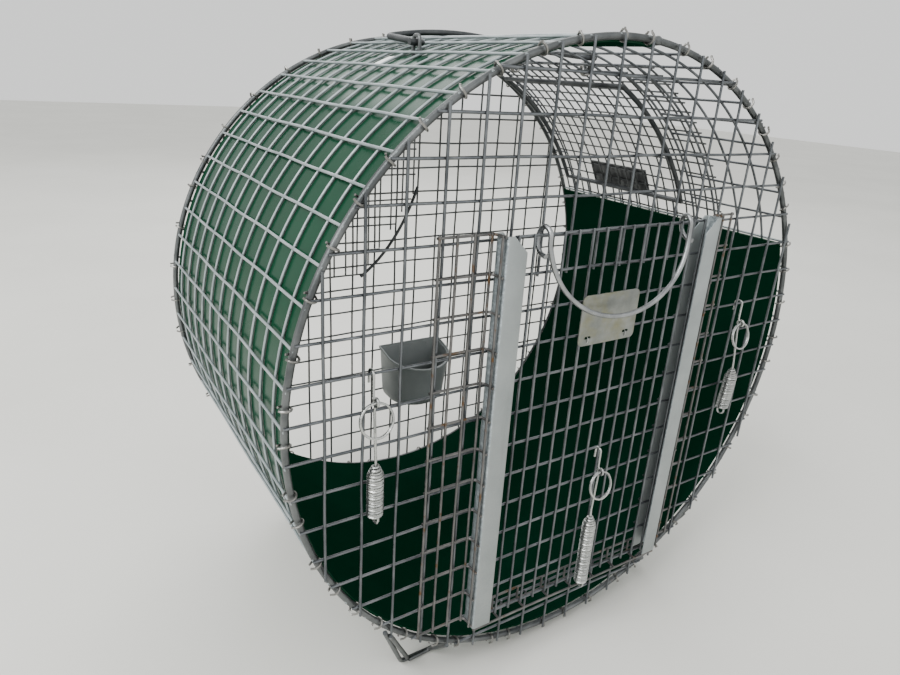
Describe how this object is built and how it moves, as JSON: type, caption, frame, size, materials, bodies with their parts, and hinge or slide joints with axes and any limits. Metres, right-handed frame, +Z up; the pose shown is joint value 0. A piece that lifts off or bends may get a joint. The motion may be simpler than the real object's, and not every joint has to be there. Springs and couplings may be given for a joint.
{
  "type": "live catch trap",
  "caption": "Drum-shaped welded-mesh live catch trap with a sliding front door in channels, spring hooks, a side hatch, a green half liner, a carry handle and wire stands.",
  "frame": {"origin": "middle of the bounding box in plan, on the floor", "axes": "+Z up, -Y towards the front door, +X to the right when facing the door"},
  "size_m": [0.4828, 0.3352, 0.4957],
  "materials": {
    "galvanised_wire": "dull galvanised, light rust at the welds",
    "dark_rod": "weathered dark zinc",
    "zinc_sheet": "satin zinc with spangle",
    "bright_wire": "bright zinc plate",
    "liner_green": "satin gloss dark green",
    "sticker_white": "matt blank sticker",
    "cup_grey": "matt grey moulded plastic",
    "plate_grey": "stained bare sheet",
    "plate_dark": "satin dark grey"
  },
  "bodies": {
    "cage": {"front_ring": "galvanised_wire", "back_ring": "galvanised_wire", "front_mesh": "galvanised_wire", "back_mesh": "galvanised_wire", "barrel_mesh": "galvanised_wire", "collar_left": "galvanised_wire", "collar_right": "galvanised_wire", "collar_sill": "galvanised_wire", "rear_panel": "galvanised_wire", "front_stand": "galvanised_wire", "back_stand": "galvanised_wire", "hatch_frame": "dark_rod", "rear_panel_rod": "dark_rod", "handle_clip_left": "dark_rod", "handle_clip_right": "dark_rod", "channel_left": "zinc_sheet", "channel_right": "zinc_sheet", "spring_left": "bright_wire", "spring_centre": "bright_wire", "spring_right": "bright_wire", "hatch_hinge_front": "bright_wire", "hatch_hinge_back": "bright_wire", "liner": "liner_green", "label_blank": "sticker_white"},
    "door": {"door_mesh": "galvanised_wire", "door_plate": "plate_grey"},
    "door_bail": {"door_bail": "dark_rod"},
    "carry_handle": {"carry_handle": "dark_rod"},
    "hatch": {"hatch_mesh": "galvanised_wire", "hatch_plate": "plate_dark"},
    "feed_cup": {"feed_cup": "cup_grey"},
    "hook_left": {"hook_left": "bright_wire"},
    "pull_ring_left": {"ring_left": "bright_wire"},
    "hook_centre": {"hook_centre": "bright_wire"},
    "pull_ring_centre": {"ring_centre": "bright_wire"},
    "hook_right": {"hook_right": "bright_wire"},
    "pull_ring_right": {"ring_right": "bright_wire"}
  },
  "joints": [
    {"name": "door_slide", "type": "slide", "parent": "cage", "child": "door", "axis": [0, 0, 1], "range_m": [0, 0.24]},
    {"name": "door_bail_hinge", "type": "hinge", "parent": "door", "child": "door_bail", "pos_m": [0, -0.15051, 0.3677], "axis": [-1, 0, 0], "range_deg": [0, 150]},
    {"name": "carry_handle_hinge", "type": "hinge", "parent": "cage", "child": "carry_handle", "pos_m": [0, -0.00551, 0.47999], "axis": [1, 0, 0], "range_deg": [0, 158]},
    {"name": "hatch_hinge", "type": "hinge", "parent": "cage", "child": "hatch", "pos_m": [0.09894, 0.04449, 0.47326], "axis": [0, -1, 0], "range_deg": [0, 90]},
    {"name": "feed_cup_lift", "type": "slide", "parent": "cage", "child": "feed_cup", "axis": [0, 0, 1], "range_m": [0, 0.012]},
    {"name": "hook_left_lift", "type": "slide", "parent": "cage", "child": "hook_left", "axis": [0, 0, 1], "range_m": [0, 0.012], "stiffness_N_per_m": 150, "deforming": ["spring_left"]},
    {"name": "pull_ring_left_swing", "type": "hinge", "parent": "hook_left", "child": "pull_ring_left", "pos_m": [-0.185, -0.14791, 0.2716], "axis": [-1, 0, 0], "range_deg": [0, 125]},
    {"name": "hook_centre_lift", "type": "slide", "parent": "cage", "child": "hook_centre", "axis": [0, 0, 1], "range_m": [0, 0.012], "stiffness_N_per_m": 150, "deforming": ["spring_centre"]},
    {"name": "pull_ring_centre_swing", "type": "hinge", "parent": "hook_centre", "child": "pull_ring_centre", "pos_m": [0.007, -0.16131, 0.1745], "axis": [-1, 0, 0], "range_deg": [0, 125]},
    {"name": "hook_right_lift", "type": "slide", "parent": "cage", "child": "hook_right", "axis": [0, 0, 1], "range_m": [0, 0.012], "stiffness_N_per_m": 150, "deforming": ["spring_right"]},
    {"name": "pull_ring_right_swing", "type": "hinge", "parent": "hook_right", "child": "pull_ring_right", "pos_m": [0.169, -0.14791, 0.2716], "axis": [-1, 0, 0], "range_deg": [0, 125]}
  ]
}
